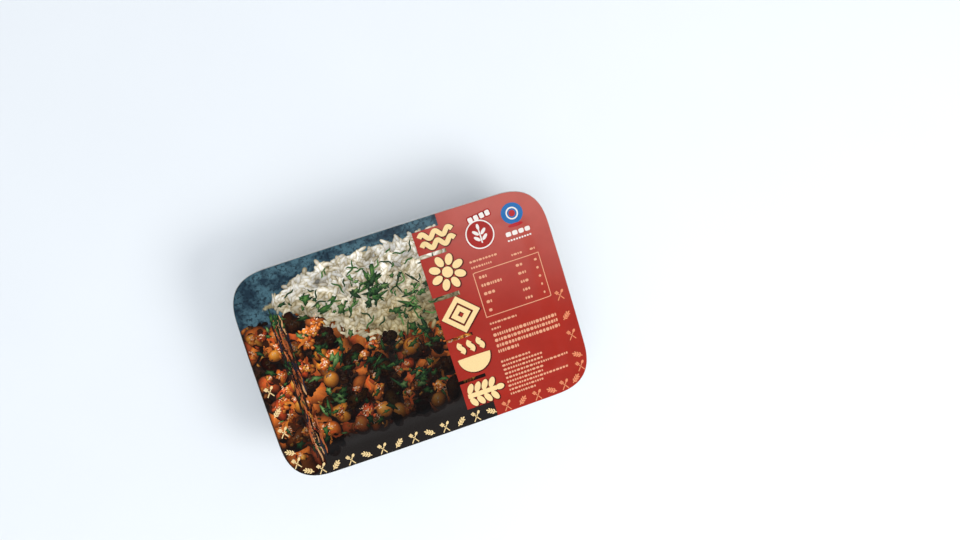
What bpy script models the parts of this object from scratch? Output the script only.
"""A sealed single-portion airline meal tray, in metres with +Z up.

The pack is a thermoformed plastic tray with a flat flange round its mouth, shut by a printed lid
film that is sealed to the flange. The film runs flat over the flange, climbs a soft step and is
level over the filling. The pack is shut and can't be seen into, so the tray is solid inside.

X runs along the pack, Y across it and Z up. The origin is the middle of the base that it rests on.
"""

import math

import bmesh
import bpy

# Outline of the flange, before its sides bow out
LENGTH = 0.2050
WIDTH = 0.1361
CORNER_SIZE = 0.0295
CORNER_POWER = 2.88
SIDE_BOW = 0.0086

# Heights above the surface that the pack rests on
RIM_HEIGHT = 0.0400
PANEL_RISE = 0.0013

# Lid film
FILM_THICKNESS = 0.0004
FILM_INSET = 0.0004
SEAL_GAP = 0.0003

# The step between the flange and the level panel, as distances in from the flange's edge
STEP_START = 0.0100
STEP_END = 0.0215

# Flange and its turned-down lip
FLANGE_WIDTH = 0.0090
FLANGE_THICKNESS = 0.0013
FLANGE_EDGE_RADIUS = 0.0006
LIP_DROP = 0.0034
LIP_THICKNESS = 0.0012
NECK_RADIUS = 0.0012

# Walls and base
SHOULDER_DROP = 0.0085
SHOULDER_STEP = 0.0012
SHOULDER_BLEND = 0.0016
WALL_DRAFT_DEG = 8.0
BASE_RADIUS = 0.0070

# Facets
CORNER_SEGMENTS = 12
LONG_SIDE_SEGMENTS = 8
SHORT_SIDE_SEGMENTS = 5
STEP_SEGMENTS = 7
SHOULDER_SEGMENTS = 3
EDGE_ARC_SEGMENTS = 3
BASE_ARC_SEGMENTS = 6
SMOOTH_ANGLE_DEG = 35.0


def remove_old_objects():
    """Empty the scene that the script runs in."""
    for old in list(bpy.data.objects):
        bpy.data.objects.remove(old, do_unlink=True)


def plastic(name, colour, roughness):
    """Make a Principled material of one colour and roughness, with no metal in it."""
    material = bpy.data.materials.new(name)
    material.use_nodes = True
    shader = material.node_tree.nodes["Principled BSDF"]
    shader.inputs["Base Color"].default_value = (*colour, 1.0)
    shader.inputs["Roughness"].default_value = roughness
    shader.inputs["Metallic"].default_value = 0.0
    return material


def smoothstep(share):
    """Ease from 0 to 1 with no slope at either end."""
    return share * share * (3.0 - 2.0 * share)


def bowed(x, y):
    """Push a point outwards so that the four sides of the outline bow, corners staying put."""
    along = x / (LENGTH / 2)
    across = y / (WIDTH / 2)
    bow_x = SIDE_BOW * (1 - across ** 2) * along ** 4
    bow_y = SIDE_BOW * LENGTH / WIDTH * (1 - along ** 2) * across ** 4
    return x * (1 + bow_x), y * (1 + bow_y)


def corner_points(radius):
    """Points of a quarter of a superellipse, from its +X end to its +Y end."""
    points = []
    for index in range(CORNER_SEGMENTS + 1):
        angle = math.pi / 2 * index / CORNER_SEGMENTS
        cosine = max(math.cos(angle), 0.0)
        sine = math.sin(angle)
        reach = radius / (cosine ** CORNER_POWER + sine ** CORNER_POWER) ** (1 / CORNER_POWER)
        points.append((reach * cosine, reach * sine))
    return points


def outline(inset):
    """The rounded outline at a distance in from the flange's edge, anticlockwise from above.

    All the outlines share their corner centres, so they run parallel to each other.
    """
    centre_x = LENGTH / 2 - CORNER_SIZE
    centre_y = WIDTH / 2 - CORNER_SIZE
    quarter = corner_points(CORNER_SIZE - inset)
    corners = (
        [(centre_x + x, centre_y + y) for x, y in quarter],
        [(-centre_x - x, centre_y + y) for x, y in reversed(quarter)],
        [(-centre_x - x, -centre_y - y) for x, y in quarter],
        [(centre_x + x, -centre_y - y) for x, y in reversed(quarter)],
    )
    side_counts = (LONG_SIDE_SEGMENTS, SHORT_SIDE_SEGMENTS) * 2
    points = []
    for number, corner in enumerate(corners):
        points.extend(corner)
        start = corner[-1]
        end = corners[(number + 1) % 4][0]
        count = side_counts[number]
        for step in range(1, count):
            share = step / count
            points.append((start[0] + (end[0] - start[0]) * share,
                           start[1] + (end[1] - start[1]) * share))
    return [bowed(x, y) for x, y in points]


def arc(centre_inset, centre_height, radius, start_deg, end_deg, segments):
    """Profile points on an arc; 0 degrees points into the pack and 90 degrees points up."""
    points = []
    for index in range(segments + 1):
        angle = math.radians(start_deg + (end_deg - start_deg) * index / segments)
        points.append((centre_inset + radius * math.cos(angle),
                       centre_height + radius * math.sin(angle)))
    return points


def panel_profile(rim_height):
    """The soft step from the level panel out to the flange, for a rim at the given height."""
    points = []
    for index in range(STEP_SEGMENTS + 1):
        share = 1 - index / STEP_SEGMENTS
        inset = STEP_START + (STEP_END - STEP_START) * share
        points.append((inset, rim_height + PANEL_RISE * smoothstep(share)))
    return points


def lathe_round_outline(name, profile, material):
    """Carry a closed-off profile round the outline and cap its two ends flat.

    The profile is a list of (inset, height) from the top's middle, over the edge, to the base.
    """
    mesh = bmesh.new()
    rings = []
    for inset, height in profile:
        rings.append([mesh.verts.new((x, y, height)) for x, y in outline(inset)])
    count = len(rings[0])
    for upper, lower in zip(rings, rings[1:]):
        for index in range(count):
            after = (index + 1) % count
            mesh.faces.new((upper[index], lower[index], lower[after], upper[after]))
    mesh.faces.new(rings[0])
    mesh.faces.new(list(reversed(rings[-1])))
    bmesh.ops.recalc_face_normals(mesh, faces=mesh.faces)
    data = bpy.data.meshes.new(name)
    mesh.to_mesh(data)
    mesh.free()
    data.materials.append(material)
    data.shade_smooth()
    data.set_sharp_from_angle(angle=math.radians(SMOOTH_ANGLE_DEG))
    piece = bpy.data.objects.new(name, data)
    bpy.context.scene.collection.objects.link(piece)
    return piece


def flange_profile(top):
    """Over the flange's rounded edge, round the turned-down lip and back along the underside."""
    edge = FLANGE_EDGE_RADIUS
    lip_radius = LIP_THICKNESS / 2
    underside = top - FLANGE_THICKNESS
    points = arc(edge, top - edge, edge, 90, 180, EDGE_ARC_SEGMENTS)
    points += arc(lip_radius, top - LIP_DROP + lip_radius, lip_radius, 180, 360,
                  2 * EDGE_ARC_SEGMENTS)
    points.append((LIP_THICKNESS, underside))
    points += arc(FLANGE_WIDTH - NECK_RADIUS, underside - NECK_RADIUS, NECK_RADIUS, 90, 0,
                  EDGE_ARC_SEGMENTS)
    return points


def wall_profile(top):
    """Down the drafted wall with its stacking shoulder, round the base radius to the flat base."""
    draft = math.radians(WALL_DRAFT_DEG)
    lean = math.tan(draft)
    wall_top = top - FLANGE_THICKNESS - NECK_RADIUS
    shoulder = top - SHOULDER_DROP
    shoulder_inset = FLANGE_WIDTH + (wall_top - shoulder) * lean
    points = []
    for index in range(SHOULDER_SEGMENTS + 1):
        share = index / SHOULDER_SEGMENTS
        points.append((shoulder_inset + SHOULDER_STEP * smoothstep(share),
                       shoulder - SHOULDER_BLEND * share))
    below_inset, below = points[-1]
    tangent_height = BASE_RADIUS * (1 - math.sin(draft))
    tangent_inset = below_inset + (below - tangent_height) * lean
    centre_inset = tangent_inset + BASE_RADIUS * math.cos(draft)
    points += arc(centre_inset, BASE_RADIUS, BASE_RADIUS, 180 + WALL_DRAFT_DEG, 270,
                  BASE_ARC_SEGMENTS)
    return points


def build_tray(material):
    """The tray with its flange, solid up to the underside of the film."""
    top = RIM_HEIGHT - FILM_THICKNESS - SEAL_GAP
    profile = panel_profile(top) + flange_profile(top) + wall_profile(top)
    return lathe_round_outline("tray_body", profile, material)


def build_film(material):
    """The lid film: flat on the flange, over the soft step, and level across the filling."""
    under = RIM_HEIGHT - FILM_THICKNESS
    profile = panel_profile(RIM_HEIGHT)
    profile += [(FILM_INSET, RIM_HEIGHT), (FILM_INSET, under)]
    profile += list(reversed(panel_profile(under)))
    return lathe_round_outline("lid_film", profile, material)


def build():
    """Build the whole pack."""
    remove_old_objects()
    build_tray(plastic("tray_plastic", (0.66, 0.66, 0.65), 0.42))
    build_film(plastic("film_print", (0.42, 0.035, 0.035), 0.36))


build()
